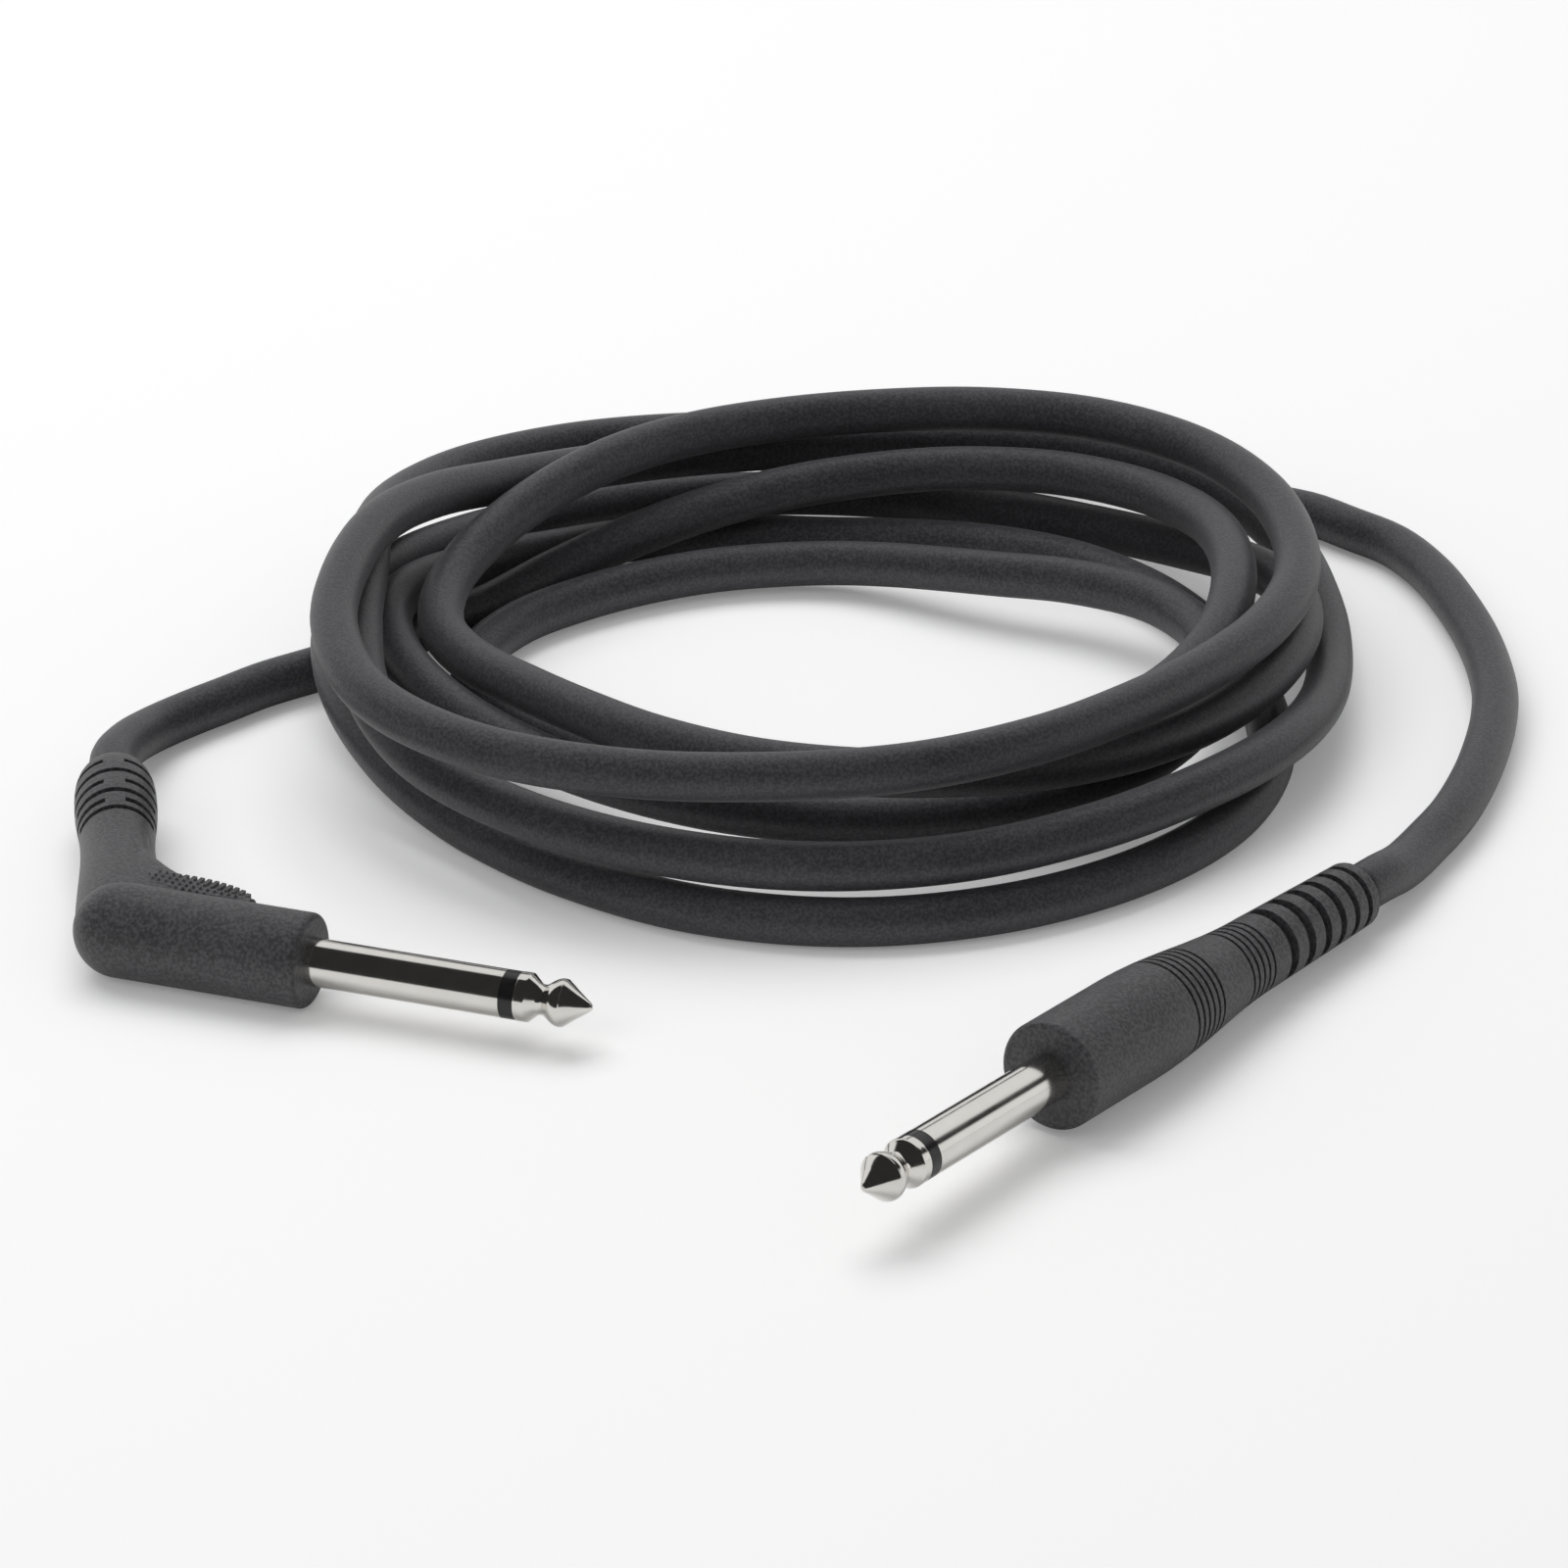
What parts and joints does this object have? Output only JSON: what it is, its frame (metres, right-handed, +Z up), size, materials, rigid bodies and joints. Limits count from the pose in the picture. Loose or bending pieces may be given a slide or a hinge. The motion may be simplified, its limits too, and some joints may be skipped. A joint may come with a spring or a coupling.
{
  "type": "instrument cable",
  "caption": "Coiled instrument cable with a straight and an angled moulded jack plug, slotted strain reliefs and nickel contacts.",
  "frame": {"origin": "on the table, midway between the outer edges of the two plugs as they lie", "axes": "+Z up from the table, +X to the right along the wider spread of the two plugs, +Y towards the coil"},
  "size_m": [0.2006, 0.2442, 0.0278],
  "materials": {
    "nickel": "polished",
    "black_plastic": "satin",
    "insulator": "matte",
    "lug_brass": "satin",
    "copper": "satin",
    "core_insulation": "matte",
    "cable_jacket": "matte",
    "inner_mould": "matte",
    "plug_body": "matte"
  },
  "bodies": {
    "root": {"straight_tip": "nickel", "straight_insulator_ring": "black_plastic", "straight_insulating_tube": "insulator", "straight_sleeve": "nickel", "straight_ground_lug": "lug_brass", "straight_rear_washer": "insulator", "straight_tip_lug": "lug_brass", "straight_core_wire": "copper", "straight_core_insulation": "core_insulation", "straight_screen_tail": "copper", "straight_jacket_end": "cable_jacket", "straight_inner_mould": "inner_mould", "straight_body": "plug_body", "angled_tip": "nickel", "angled_insulator_ring": "black_plastic", "angled_insulating_tube": "insulator", "angled_sleeve": "nickel", "angled_ground_lug": "lug_brass", "angled_rear_washer": "insulator", "angled_tip_lug": "lug_brass", "angled_core_wire": "copper", "angled_core_insulation": "core_insulation", "angled_screen_tail": "copper", "angled_jacket_end": "cable_jacket", "angled_inner_mould": "inner_mould", "angled_body": "plug_body", "straight_lead": "cable_jacket", "cable_coil": "cable_jacket", "angled_lead": "cable_jacket"}
  },
  "joints": []
}
